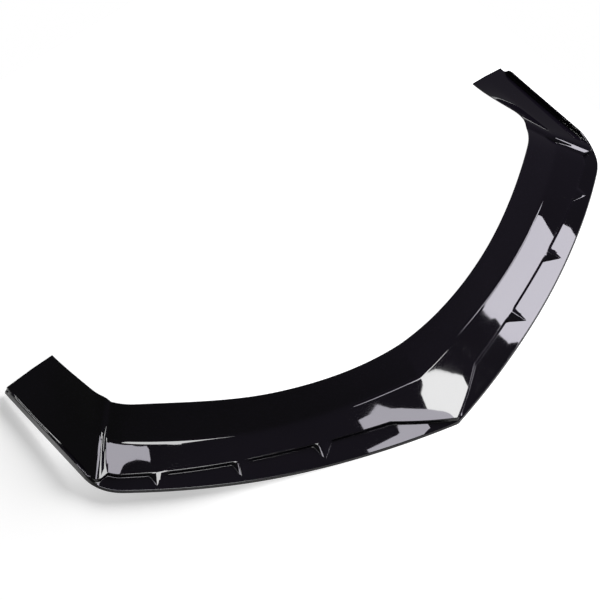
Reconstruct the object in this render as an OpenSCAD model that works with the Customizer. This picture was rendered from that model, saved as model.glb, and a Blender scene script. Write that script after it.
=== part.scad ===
// Front splitter lip: one thin moulding that follows the lower edge of a front bumper.
// The section steps down from a sloped mounting flange to an upper blade with a pointed prow,
// then to a lower blade with upright gussets. Each arm ends in a raised side plate.
// Front is -Y, the car's width is X, and the lowest edge lies on Z = 0.

/* [Plan] */
// Overall width over the lower edge of both arms
lip_w = 1760; // [1500:10:1900]
// Depth from the prow tip to the rear ends of the arms
lip_d = 830; // [760:5:900]
// Depth from the prow tip to the front of the corner
front_d = 372; // [320:2:410]
// Sweep of the front edge at the centre, in degrees
sweep_centre = 13; // [6:1:20]
// Sweep of every front curve where the corner starts, in degrees
sweep_corner = 38; // [32:1:46]
// Radius of the corner, in plan
corner_r = 130; // [90:5:170]

/* [Section] */
// Wall of the moulding
wall = 3; // [2:0.25:4]
// Height of the turned-down outer edge
edge_h = 10; // [8:0.5:16]
// Rise of the lower blade from its edge to the foot of the step
lower_rise = 3; // [1:0.5:8]
// Height of the step up to the upper blade
step_h = 10; // [6:0.5:18]
// Length over which the step leans back
step_run = 2; // [1:0.5:5]
// Rounding of the crease between flange and upper blade
crease_r = 9; // [3:0.5:14]
// Rounding of the sharp edges
edge_r = 2; // [1:0.25:3]

/* [Lower blade] */
// Width of the lower blade halfway to the corner
lower_w_mid = 64; // [45:1:80]
// Width of the lower blade at the corner
lower_w_corner = 42; // [30:1:55]

/* [Prow] */
// End of the prow's base, as a fraction of the way to the corner
prow_end = 0.19; // [0.12:0.01:0.26]
// Gap from the prow tip back to the lower edge
prow_inset = 5; // [3.5:0.5:20]

/* [Crease] */
// Distance from the prow tip back to the crease
crease_back = 166; // [140:2:190]
// Sweep of the crease at the centre, in degrees
crease_sweep = 10; // [0:1:20]
// Depth from the prow tip to the front of the crease's corner
crease_front_d = 466; // [430:2:490]
// Distance from the arm's lower edge in to the crease
crease_in = 86; // [60:1:100]
// Radius of the crease's corner, in plan
crease_corner_r = 110; // [80:5:150]
// Rise of the upper blade at the centre
upper_rise_centre = 8; // [4:1:30]
// Rise of the upper blade halfway to the corner
upper_rise_mid = 9; // [4:1:45]
// Rise of the upper blade at the corner
upper_rise_corner = 30; // [4:1:45]
// Rise of the arm's top face at its rear end
upper_rise_rear = 20; // [4:1:45]

/* [Flange] */
// Distance from the prow tip back to the flange's inner edge
inner_back = 242; // [220:2:270]
// Depth from the prow tip to the front of the inner edge's corner
inner_front_d = 505; // [480:5:540]
// Distance from the arm's lower edge in to the inner edge
inner_in = 142; // [120:1:160]
// Radius of the inner edge's corner, in plan
inner_corner_r = 150; // [100:5:200]
// Distance by which the inner edge ends before the arm does
inner_short = 28; // [0:1:50]
// Rise of the flange at the centre
flange_rise_centre = 70; // [40:1:90]
// Rise of the flange halfway to the corner
flange_rise_mid = 80; // [40:1:95]
// Rise of the flange at the corner
flange_rise_corner = 66; // [40:1:90]
// Rise of the flange at the rear end
flange_rise_rear = 26; // [14:1:80]

/* [Underside] */
// Height of the lower edge above the floor halfway to the corner
lift_mid = 9; // [0:1:25]
// Height of the lower edge above the floor at the corner
lift_corner = 30; // [0:1:45]
// Height of the lower edge above the floor at the rear end
lift_rear = 6; // [0:1:45]

/* [Side plate] */
// Height of the side plate over the arm's lower edge
plate_h = 36; // [30:1:60]
// Outward lean of the side plate's top
plate_lean = 1; // [0:1:25]
// Thickness of the side plate
plate_t = 5; // [4:0.5:8]
// Length of the side plate's sloped front edge
plate_ramp = 90; // [40:5:130]
// Distance from the side plate to the arm's rear end
plate_end = 20; // [15:1:60]
// Height of the step across the arm behind the corner
arm_step = 14; // [4:0.5:18]

/* [Gussets] */
// Gussets on each half
gussets = 3; // [1:1:4]
// First gusset, as a fraction of the way to the corner
gusset_first = 0.41; // [0.3:0.01:0.5]
// Last gusset, as a fraction of the way to the corner
gusset_last = 0.90; // [0.75:0.01:0.92]
// Length of a gusset's foot along the step
gusset_l = 52; // [25:1:64]
// Place of a gusset's tip along its foot, as a share of the foot
gusset_peak = 0.63; // [0.15:0.01:0.85]
// Share of the lower blade's width that a gusset reaches
gusset_reach = 0.72; // [0.3:0.02:0.86]

/* [Hidden] */

half_w = lip_w / 2;
// Largest distance between two stations, and the parts of the corner's arc
pitch = 14;
arc_n = 12;
// Place where the corner ends and the arm starts
corner_s = 2.4;
// Length of the front curve's handles, as a share of its half width
pull = 0.355;
// Parts of the crease's rounding and of an edge's rounding
crease_n = 3;
edge_n = 2;
// Largest share of a face's width that its rounding takes
reach_max = 0.45;
// Limit on the miter of the underside at a sharp fold
fold_min = 0.5;

function lerp(a, b, t) = a + (b - a) * t;
function clamp01(t) = max(0, min(1, t));
function ease(t) = let (c = clamp01(t)) c * c * (3 - 2 * c);

// Plan curves: [start at the centre, sweep there, depth and half width of the corner, radius, end]
outer = [0, sweep_centre, front_d, half_w, corner_r, lip_d];
crease = [crease_back, crease_sweep, crease_front_d, half_w - crease_in, crease_corner_r,
    lip_d - inner_short / 2];
inner = [inner_back, 0, inner_front_d, half_w - inner_in, inner_corner_r, lip_d - inner_short];

// Point of a plan curve: front for s from 0 to 2, corner to 2.4, arm to 3
function corner_x(c) = c[3] - c[4] * (1 - sin(sweep_corner));
function handles(c) = let (x = corner_x(c), d = pull * x)
    [[0, c[0]], [0, c[0]] + d * [cos(c[1]), sin(c[1])],
     [x, c[2]] - d * [cos(sweep_corner), sin(sweep_corner)], [x, c[2]]];
function front_at(b, t) = pow(1 - t, 3) * b[0] + 3 * t * pow(1 - t, 2) * b[1]
    + 3 * t * t * (1 - t) * b[2] + pow(t, 3) * b[3];
function corner_at(c, a) = [c[3] - c[4] * (1 - sin(a)), c[2] + c[4] * (cos(sweep_corner) - cos(a))];
function turn_at(s) = lerp(sweep_corner, 90, (s - 2) / (corner_s - 2));
function arm_at(c, k) = lerp(corner_at(c, 90), [c[3], c[5]], k);
function curve_at(c, s) = s <= 2 ? front_at(handles(c), s / 2)
    : s <= corner_s ? corner_at(c, turn_at(s)) : arm_at(c, (s - corner_s) / (3 - corner_s));

// Direction angle of the outer curve
function outer_speed(t) = let (b = handles(outer)) 3 * pow(1 - t, 2) * (b[1] - b[0])
    + 6 * t * (1 - t) * (b[2] - b[1]) + 3 * t * t * (b[3] - b[2]);
function outer_angle(s) = s <= 2 ? let (d = outer_speed(s / 2)) atan2(d[1], d[0])
    : s <= corner_s ? turn_at(s) : 90;

// Value along one half, from its sizes at the centre, halfway, at the corner and at the rear end
function cubic(p0, p1, p2, p3, t) = p1 + 0.5 * t * (p2 - p0
    + t * (2 * p0 - 5 * p1 + 4 * p2 - p3 + t * (3 * (p1 - p2) + p3 - p0)));
function along(s, v) = let (k = min(2, floor(s)), t = s - k)
    cubic(v[max(0, k - 1)], v[k], v[k + 1], v[min(3, k + 2)], t);

// Stations of one half, closer than pitch, with one at each corner of the prow and the gussets
gusset_ts = [for (i = [0:gussets - 1])
    gussets == 1 ? gusset_first : lerp(gusset_first, gusset_last, i / (gussets - 1))];
function foot_span(t) = gusset_l / norm(outer_speed(t));
knots = [0, 2 * prow_end,
    for (t = gusset_ts) each [2 * (t - gusset_peak * foot_span(t)), 2 * t,
                              2 * (t + (1 - gusset_peak) * foot_span(t))],
    2];
function count(a, b) = max(1, ceil(norm(curve_at(outer, b) - curve_at(outer, a)) / pitch));
side_n = ceil((lip_d - corner_at(outer, 90)[1]) / pitch);
places = concat(
    [for (k = [0:len(knots) - 2]) let (a = knots[k], b = knots[k + 1], n = count(a, b))
        for (i = [0:n - 1]) lerp(a, b, i / n)],
    [for (i = [0:arc_n]) lerp(2, corner_s, i / arc_n)],
    [for (i = [1:side_n]) lerp(corner_s, 3, i / side_n)]);
last = len(places) - 1;

// Shares of the prow, the gussets, the arm's step and the side plate at place s
corner_y = corner_at(outer, turn_at((2 + corner_s) / 2))[1];
function prow_share(s) = clamp01(s / 2 / prow_end);
function ridge(s, t) = let (k = (s / 2 - t) / foot_span(t))
    clamp01(1 + (k < 0 ? k / gusset_peak : -k / (1 - gusset_peak)));
function gusset_share(s) = max([for (t = gusset_ts) ridge(s, t)]);
function arm_share(s) = s < 2 ? 0 : ease((curve_at(outer, s)[1] - corner_y) / pitch);
function plate_share(s) = s < 2 ? 0 : let (y = curve_at(outer, s)[1])
    ease((y - corner_y) / plate_ramp) * ease((lip_d - plate_end + pitch - y) / pitch / 2);

// Corners of the section at place s, as [distance inwards, height]
function lift_at(s) = max(0, along(s, [0, lift_mid, lift_corner, lift_rear]));
function lower_w_at(s) = lerp(prow_inset,
    along(s, [lower_w_mid, lower_w_mid, lower_w_corner, lower_w_corner]), prow_share(s));
function inset_at(c, s) = norm(curve_at(c, s) - curve_at(outer, s));
function top_corners(s) = let (
    base = lift_at(s),
    f = plate_share(s),
    a = arm_share(s),
    ws = lerp(lower_w_at(s), plate_t + wall, a),
    zs = base + edge_h + lower_rise + step_h,
    zc = zs + a * arm_step
        + along(s, [upper_rise_centre, upper_rise_mid, upper_rise_corner, upper_rise_rear]),
    zi = zc + along(s, [flange_rise_centre, flange_rise_mid, flange_rise_corner, flange_rise_rear]))
    [[inset_at(inner, s), zi], [inset_at(crease, s), zc], [ws, zs],
     lerp([ws - step_run, zs - step_h], [plate_t - plate_lean, base + plate_h], f),
     lerp([step_run / 2, base + edge_h], [-plate_lean, base + plate_h], f),
     [0, base]];

// Rounded corner at b, between a and c, as n + 1 points
function reach(b, a, r) = b + (a - b) * min(reach_max, r / norm(a - b));
function rounded(a, b, c, r, n) = let (p = reach(b, a, r), q = reach(b, c, r))
    [for (i = [0:n]) let (t = i / n) (1 - t) * (1 - t) * p + 2 * t * (1 - t) * b + t * t * q];
// Corner b moved inwards by the wall, on the lower side of the line a, b, c
function under_normal(a, b) = let (d = (b - a) / norm(b - a)) [-d[1], d[0]];
function under(a, b, c, t) = let (m = under_normal(a, b), n = under_normal(b, c))
    b + t * (m + n) / max(fold_min, 1 + m * n);

function ring(s) = let (
    c = top_corners(s),
    f = plate_share(s),
    g = lerp(c[3], c[4], gusset_reach * gusset_share(s)),
    mid = (c[0] + c[1]) / 2,
    foot = [wall + plate_t, c[2][1] - wall],
    u4 = lerp(under(c[3], c[4], c[5], wall), foot, f),
    u3 = lerp(under(c[2], c[3], c[4], wall), foot + [wall, 0], f),
    u2 = lerp(under(c[1], c[2], c[3], wall), foot + [2 * wall, 0], f),
    u1 = under(c[0], c[1], c[2], wall),
    u0 = c[0] + wall * under_normal(c[0], c[1]))
    concat([c[0], mid], rounded(c[0], c[1], c[2], crease_r, crease_n),
        rounded(c[1], c[2], g, edge_r, edge_n), rounded(c[2], g, c[4], edge_r, edge_n),
        rounded(g, c[4], c[5], edge_r, edge_n), [c[5], [wall, c[5][1]], u4, u3, u2, u1, u0]);

// The section placed in space: square to the edge up to the foot of the step, then straight to
// the crease and to the inner edge
function placed(s, side) = let (
    o = curve_at(outer, s),
    a = outer_angle(s) * ease(s / 2 / prow_end),
    ws = top_corners(s)[2][0],
    wc = inset_at(crease, s),
    wi = inset_at(inner, s),
    foot = o + ws * [-sin(a), cos(a)],
    pc = curve_at(crease, s),
    pi = curve_at(inner, s))
    [for (p = ring(s)) let (q = p[0] < ws ? lerp(o, foot, p[0] / ws)
        : p[0] < wc ? lerp(foot, pc, (p[0] - ws) / (wc - ws))
        : lerp(pc, pi, (p[0] - wc) / (wi - wc)))
        [side * q[0], q[1] - lip_d / 2, p[1]]];

module splitter_lip() {
    rings = concat([for (i = [last:-1:1]) placed(places[i], -1)],
        [for (i = [0:last]) placed(places[i], 1)]);
    n = len(rings[0]);
    m = len(rings);
    // Faces across the top of a section, where each quad is cut the same way as the one under it
    top_n = crease_n + 3 * edge_n + 6;
    color([0.03, 0.028, 0.036])
        polyhedron(points = [for (r = rings) each r],
            faces = concat([[for (k = [0:n - 1]) k]],
                [for (j = [0:m - 2], k = [0:n - 1])
                    let (a = j * n + k, b = a + n, d = j * n + (k + 1) % n, c = d + n)
                    each (j < last) == (k < top_n) ? [[a, b, d], [b, c, d]] : [[a, b, c], [a, c, d]]],
                [[for (k = [n - 1:-1:0]) (m - 1) * n + k]]),
            convexity = 10);
}

splitter_lip();
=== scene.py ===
# %% [markdown]
# # A gloss black front splitter lip
# The lip is one thin moulding, about 1.76 m wide, that follows the lower edge of a front bumper.
# The solid model is loaded first and stays as it is. This lesson gives it a smooth skin, a polished
# black plastic, a pale studio and a camera. All sizes are in metres.

import math

import bmesh
import bpy
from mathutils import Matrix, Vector


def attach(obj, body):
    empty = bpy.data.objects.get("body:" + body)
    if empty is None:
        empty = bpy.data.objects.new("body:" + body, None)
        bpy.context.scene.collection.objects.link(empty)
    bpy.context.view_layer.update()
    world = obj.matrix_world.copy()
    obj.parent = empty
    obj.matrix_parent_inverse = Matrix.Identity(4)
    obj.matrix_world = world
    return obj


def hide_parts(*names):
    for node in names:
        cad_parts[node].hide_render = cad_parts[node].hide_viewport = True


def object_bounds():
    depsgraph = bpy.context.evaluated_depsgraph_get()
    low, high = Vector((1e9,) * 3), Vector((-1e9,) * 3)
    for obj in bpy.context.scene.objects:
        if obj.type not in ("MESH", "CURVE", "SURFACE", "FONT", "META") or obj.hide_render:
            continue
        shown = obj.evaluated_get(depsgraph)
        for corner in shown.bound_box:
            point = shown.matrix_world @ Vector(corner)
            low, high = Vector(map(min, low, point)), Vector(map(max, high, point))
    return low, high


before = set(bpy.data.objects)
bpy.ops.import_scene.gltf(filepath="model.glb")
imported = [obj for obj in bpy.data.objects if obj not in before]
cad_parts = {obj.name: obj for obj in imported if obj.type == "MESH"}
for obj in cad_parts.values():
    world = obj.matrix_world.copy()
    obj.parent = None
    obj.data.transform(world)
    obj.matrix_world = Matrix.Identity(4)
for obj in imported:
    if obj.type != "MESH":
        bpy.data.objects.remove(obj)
cad_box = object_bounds()
scene = bpy.context.scene
print("solid nodes:", sorted(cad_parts))
print("solid box:", [round(v, 4) for v in cad_box[0]], [round(v, 4) for v in cad_box[1]])

# %% [markdown]
# ## Working by hand
# An operator acts on whatever is selected, and the loaded solid comes in selected. So every step
# starts by clearing the selection and picking one object.


# %% Pick one object
def pick(obj):
    bpy.ops.object.select_all(action="DESELECT")
    obj.select_set(True)
    bpy.context.view_layer.objects.active = obj


# %% [markdown]
# ## The skin of the moulding
# On the real lip each face flows into the next without facets, and light slides along it in long
# clean bands. The solid is made of flat triangles, so its reflections would break at each of them.
# One way to hide that is smooth shading alone. A better way is to join the triangles into
# four-sided faces, to hold every fold of the section with a crease, and to let a subdivision surface
# bend the rest along the lip. Weighted normals then keep each broad face flat across its width, so
# only the narrow roundings between the faces carry the turn of the light.

# %% Copy the solid and join its triangles
LIP = "splitter_lip"
MERGE_GAP = 0.00001
QUAD_ANGLE = math.radians(35)

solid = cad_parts[LIP]
lip = bpy.data.objects.new("lip_skin", solid.data.copy())
scene.collection.objects.link(lip)
pick(lip)
bpy.ops.object.mode_set(mode="EDIT")
bpy.ops.mesh.select_all(action="SELECT")
bpy.ops.mesh.remove_doubles(threshold=MERGE_GAP)
bpy.ops.mesh.tris_convert_to_quads(face_threshold=QUAD_ANGLE, shape_threshold=math.pi)
bpy.ops.object.mode_set(mode="OBJECT")
print("skin faces after joining:", len(lip.data.polygons))

# %% Crease the true edges and subdivide
CREASE_ANGLE = math.radians(6)
FULL_CREASE = 1.0
SKIN_LEVELS = 1
SHADE_ANGLE = math.radians(40)
FACE_WEIGHT = 100


def crease_sharp_edges(mesh, angle):
    """Gives a full crease to every edge that turns more than the angle."""
    shape = bmesh.new()
    shape.from_mesh(mesh)
    layer = shape.edges.layers.float.get("crease_edge") or shape.edges.layers.float.new("crease_edge")
    sharp = [e for e in shape.edges if len(e.link_faces) == 2 and e.calc_face_angle(0) > angle]
    for edge in sharp:
        edge[layer] = FULL_CREASE
    shape.to_mesh(mesh)
    shape.free()
    return len(sharp)


creased = crease_sharp_edges(lip.data, CREASE_ANGLE)
smoother = lip.modifiers.new("smoother", "SUBSURF")
smoother.levels = smoother.render_levels = SKIN_LEVELS
smoother.boundary_smooth = "PRESERVE_CORNERS"
pick(lip)
bpy.ops.object.modifier_apply(modifier=smoother.name)
bpy.ops.object.shade_smooth_by_angle(angle=SHADE_ANGLE)
weights = lip.modifiers.new("weights", "WEIGHTED_NORMAL")
weights.mode = "FACE_AREA"
weights.weight = FACE_WEIGHT
weights.keep_sharp = True
bpy.ops.object.modifier_apply(modifier=weights.name)
print("creased edges:", creased, "faces in the finished skin:", len(lip.data.polygons))

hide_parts(LIP)
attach(lip, "root")

# %% [markdown]
# ## Shader maths in plain Python
# A material's nodes are wired by hand in the editor. In a script the same maths reads better as an
# expression, so a small class wraps one output socket. Adding or multiplying wrapped sockets adds
# the Math node that does it, and one method makes every other kind of node.


# %% A wrapped socket and a node maker
class Wire:
    def __init__(self, kit, socket):
        self.kit = kit
        self.socket = socket

    def math(self, operation, other):
        made = self.kit.node("ShaderNodeMath", {"operation": operation}, {0: self, 1: other})
        return self.kit.out(made)

    def __add__(self, other):
        return self.math("ADD", other)

    def __mul__(self, other):
        return self.math("MULTIPLY", other)

    __radd__ = __add__
    __rmul__ = __mul__


class Kit:
    def __init__(self, tree):
        self.tree = tree

    def node(self, kind, settings=None, inputs=None):
        """Adds a node, applies its settings first, then fills or links its sockets."""
        made = self.tree.nodes.new(kind)
        for name, value in (settings or {}).items():
            setattr(made, name, value)
        for name, value in (inputs or {}).items():
            if isinstance(value, Wire):
                self.tree.links.new(value.socket, made.inputs[name])
            else:
                made.inputs[name].default_value = value
        return made

    def out(self, made, name=0):
        return Wire(self, made.outputs[name])


def blank_material(name):
    made = bpy.data.materials.new(name)
    made.use_nodes = True
    made.node_tree.nodes.clear()
    return made, Kit(made.node_tree)


# %% [markdown]
# ## Polished black plastic
# The plastic is nearly black with a trace of violet, under a clear glossy skin. Real moulded
# plastic isn't perfectly flat: a faint ripple bends the reflections a little, and handling leaves
# the polish slightly uneven. Both come from noise in the object's own coordinates, so they stay
# on the part whichever way the camera looks.

# %% The plastic's colour, polish and ripple
BLACK = (0.0042, 0.0032, 0.0062, 1)
BLACK_WORN = (0.0056, 0.0044, 0.0080, 1)
POLISH = 0.015
POLISH_SPREAD = 0.02
CLOUDS_PER_METRE = 9
CLOUD_DETAIL = 3
RIPPLES_PER_METRE = 14
RIPPLE_DETAIL = 2
RIPPLE_DEPTH = 0.00005
PLASTIC_IOR = 1.5
COAT = 0.6
COAT_POLISH = 0.015

plastic, kit = blank_material("gloss_black_plastic")
place = kit.out(kit.node("ShaderNodeTexCoord"), "Object")
cloud = kit.out(kit.node("ShaderNodeTexNoise", inputs={
    "Vector": place, "Scale": CLOUDS_PER_METRE, "Detail": CLOUD_DETAIL}), "Fac")
ripple = kit.out(kit.node("ShaderNodeTexNoise", inputs={
    "Vector": place, "Scale": RIPPLES_PER_METRE, "Detail": RIPPLE_DETAIL}), "Fac")
tint = kit.node("ShaderNodeMix", {"data_type": "RGBA"}, {"Factor": cloud, 6: BLACK, 7: BLACK_WORN})
bump = kit.node("ShaderNodeBump", inputs={"Height": ripple, "Distance": RIPPLE_DEPTH})
shader = kit.node("ShaderNodeBsdfPrincipled", inputs={
    "Base Color": kit.out(tint, 2), "Roughness": POLISH + cloud * POLISH_SPREAD,
    "Normal": kit.out(bump, "Normal"), "IOR": PLASTIC_IOR, "Coat Weight": COAT,
    "Coat Roughness": COAT_POLISH})
kit.node("ShaderNodeOutputMaterial", inputs={"Surface": kit.out(shader)})
lip.data.materials.clear()
lip.data.materials.append(plastic)
print("material nodes:", len(plastic.node_tree.nodes))

# %% [markdown]
# ## A white floor that keeps the shadow
# The background is clean white, with a soft grey shadow on the near side of the lip. Lighting the
# floor until it turns white would flood the part too. So the floor is a grey paper for the light that
# falls on it, and adds a glow of its own only where the camera looks straight at it. The glow grows
# towards the far side, where the photo shows no shadow. A reflection sees the paper without its
# glow, and beyond its rim the dim room, so the black stays deep.


# %% Where the camera looks straight
def seen_directly(kit):
    """One where the camera looks at a surface straight or through glass, otherwise zero."""
    path = kit.node("ShaderNodeLightPath")
    return kit.out(path, "Is Camera Ray") + kit.out(path, "Is Transmission Ray")


# %% The floor
WHITE = (1, 1, 1, 1)
FLOOR_SIZE = 2.6
FLOOR_MIDDLE_X = -0.3
FLOOR_COLOUR = (0.58, 0.58, 0.58, 1)
GLOW_NEAR = 0.48
GLOW_FAR = 1.02
GLOW_FROM_X = -0.75
GLOW_TO_X = -0.2

bpy.ops.mesh.primitive_plane_add(size=FLOOR_SIZE, location=(FLOOR_MIDDLE_X, 0, cad_box[0][2]))
bpy.ops.object.transform_apply(location=True, rotation=True, scale=True)
floor = bpy.context.object
floor.name = "studio_floor"
paper, kit = blank_material("studio_paper")
spot = kit.out(kit.node("ShaderNodeTexCoord"), "Object")
spot_x = kit.out(kit.node("ShaderNodeSeparateXYZ", inputs={0: spot}), "X")
grow = kit.out(kit.node("ShaderNodeMapRange", {"interpolation_type": "SMOOTHSTEP"}, {
    "Value": spot_x, "From Min": GLOW_FROM_X, "From Max": GLOW_TO_X,
    "To Min": GLOW_NEAR, "To Max": GLOW_FAR}), "Result")
cover = kit.node("ShaderNodeBsdfDiffuse", inputs={"Color": FLOOR_COLOUR})
glow = kit.node("ShaderNodeEmission", inputs={"Color": WHITE, "Strength": seen_directly(kit) * grow})
glowing_paper = kit.node("ShaderNodeAddShader", inputs={0: kit.out(cover), 1: kit.out(glow)})
kit.node("ShaderNodeOutputMaterial", inputs={"Surface": kit.out(glowing_paper)})
floor.data.materials.append(paper)
print("floor side:", FLOOR_SIZE)

# %% [markdown]
# ## Cards where the part mirrors them
# A polished black part shows almost nothing of its own: what the eye sees is the lights in it. So a
# studio lights it with bright cards cut to shape. Each card here is a flat outline at one height over
# the lip, drawn as a list of (x, y) corners, and only mirror reflections can see it. Two cards whiten
# the prow, one draws the strips along the far blade and one lights the step across the far arm. Two
# light the corner on the near side, and the last draws a thin line on the near arm.

# %% Outlines of the cards
CARD_HEIGHT = 1.5
LILAC = (0.93, 0.9, 1.0, 1)
CARDS = {
    "card_prow_right": (12, WHITE, [
        (0.61, 0.24), (0.65, 0.27), (0.73, 0.24), (0.80, 0.19), (0.83, 0.16), (0.82, 0.07),
        (0.73, 0.07), (0.72, 0.00), (0.60, 0.00), (0.60, 0.11), (0.53, 0.15), (0.55, 0.18),
        (0.57, 0.21)]),
    "card_prow_left": (6, LILAC, [
        (0.53, 0.15), (0.60, 0.11), (0.60, -0.05), (0.36, -0.05), (0.30, 0.00), (0.35, 0.17),
        (0.45, 0.17)]),
    "card_blade": (9, LILAC, [
        (0.95, 0.42), (1.32, 0.42), (1.32, 0.12), (1.25, -0.02), (1.44, -0.15), (1.42, -0.45),
        (1.15, -0.35), (1.01, 0.00), (0.98, 0.17), (0.95, 0.20)]),
    "card_corner": (6, LILAC, [
        (-1.62, 0.30), (-1.40, 0.13), (-1.25, -0.01), (-1.10, -0.09), (-0.95, -0.16), (-0.85, -0.21),
        (-0.74, -0.27), (-0.62, -0.20), (-0.85, 0.30), (-1.00, 0.80), (-1.62, 0.80)]),
    "card_fold": (9, WHITE, [
        (-1.35, -0.34), (-0.40, -0.34), (-0.30, -0.95), (-0.90, -0.90), (-1.35, -0.70)]),
    "card_far_step": (9, LILAC, [
        (1.28, -0.95), (1.45, -0.95), (1.62, -0.72), (1.72, -0.50), (1.72, -0.42), (1.50, -0.42),
        (1.28, -0.65)]),
    "card_arm": (20, WHITE, [(-0.9, 1.19), (-0.5, 1.22), (-0.5, 1.36), (-0.9, 1.30)]),
}
HIDDEN_FROM = ["camera", "diffuse", "transmission", "volume_scatter", "shadow"]


def card(name, strength, colour, corners):
    """A flat glowing outline that only mirror reflections can see."""
    mesh = bpy.data.meshes.new(name)
    mesh.from_pydata([(x, y, CARD_HEIGHT) for x, y in corners], [], [range(len(corners))])
    made = bpy.data.objects.new(name, mesh)
    scene.collection.objects.link(made)
    for kind in HIDDEN_FROM:
        setattr(made, "visible_" + kind, False)
    paint, kit = blank_material(name)
    light = kit.node("ShaderNodeEmission", inputs={"Color": colour, "Strength": strength})
    kit.node("ShaderNodeOutputMaterial", inputs={"Surface": kit.out(light)})
    mesh.materials.append(paint)


for name, (strength, colour, corners) in CARDS.items():
    card(name, strength, colour, corners)
print("cards:", len(CARDS))

# %% [markdown]
# ## The key light
# The cards light nothing but the mirror. The level of the room and the soft shadow to the left of
# the lip and in front of it come from a broad sun behind it on the right, which no mirror shows. The
# sun and the camera are both placed by two angles, as on a map: an azimuth and an elevation.


# %% A direction from its two angles
def direction(azimuth, elevation):
    """Unit vector to a direction, with azimuth 0 along +Y and 90 along +X."""
    a, e = math.radians(azimuth), math.radians(elevation)
    return Vector((math.sin(a) * math.cos(e), math.cos(a) * math.cos(e), math.sin(e)))


# %% A broad sun
SUN_AZIMUTH = 96
SUN_ELEVATION = 28
SUN_SPREAD = 45
LEVEL = 0.9

sun = bpy.data.lights.new("key_sun", "SUN")
sun.angle = math.radians(SUN_SPREAD)
sun.energy = LEVEL * math.pi / math.sin(math.radians(SUN_ELEVATION))
key = bpy.data.objects.new("key_sun", sun)
key.rotation_euler = direction(SUN_AZIMUTH, SUN_ELEVATION).to_track_quat("Z", "Y").to_euler()
key.visible_glossy = False
scene.collection.objects.link(key)
print("sun strength:", round(sun.energy, 3))

# %% [markdown]
# ## The world
# The rest of the room is a dim even grey, so that the black stays deep. Where the camera looks at
# it directly it is white, like the floor.

# %% The room
ROOM_GREY = 0.05

world = bpy.data.worlds.new("studio_room")
scene.world = world
world.use_nodes = True
world.node_tree.nodes.clear()
kit = Kit(world.node_tree)
room = kit.node("ShaderNodeBackground", inputs={
    "Color": WHITE, "Strength": ROOM_GREY + seen_directly(kit) * (1 - ROOM_GREY)})
kit.node("ShaderNodeOutputWorld", inputs={"Surface": kit.out(room)})

# %% [markdown]
# ## The camera
# The photo looks down on the lip from the front and from its minus X side, from far enough away that
# the far arm is hardly smaller than the near one. A long lens from eight metres gives the same view.

# %% The camera
VIEW_AZIMUTH = 38.96
VIEW_ELEVATION = 55
VIEW_DISTANCE = 8
VIEW_TARGET = Vector((-0.075, 0.1605, 0))
LENS = 176.04
SENSOR_WIDTH = 36
FARTHEST = 100

camera = bpy.data.cameras.new("camera")
camera.lens = LENS
camera.sensor_width = SENSOR_WIDTH
camera.clip_end = FARTHEST
viewer = bpy.data.objects.new("camera", camera)
scene.collection.objects.link(viewer)
toward = direction(VIEW_AZIMUTH, -VIEW_ELEVATION)
viewer.location = VIEW_TARGET - toward * VIEW_DISTANCE
viewer.rotation_euler = toward.to_track_quat("-Z", "Y").to_euler()
scene.camera = viewer
scene.view_settings.view_transform = "Standard"
print("camera at", [round(v, 3) for v in viewer.location])
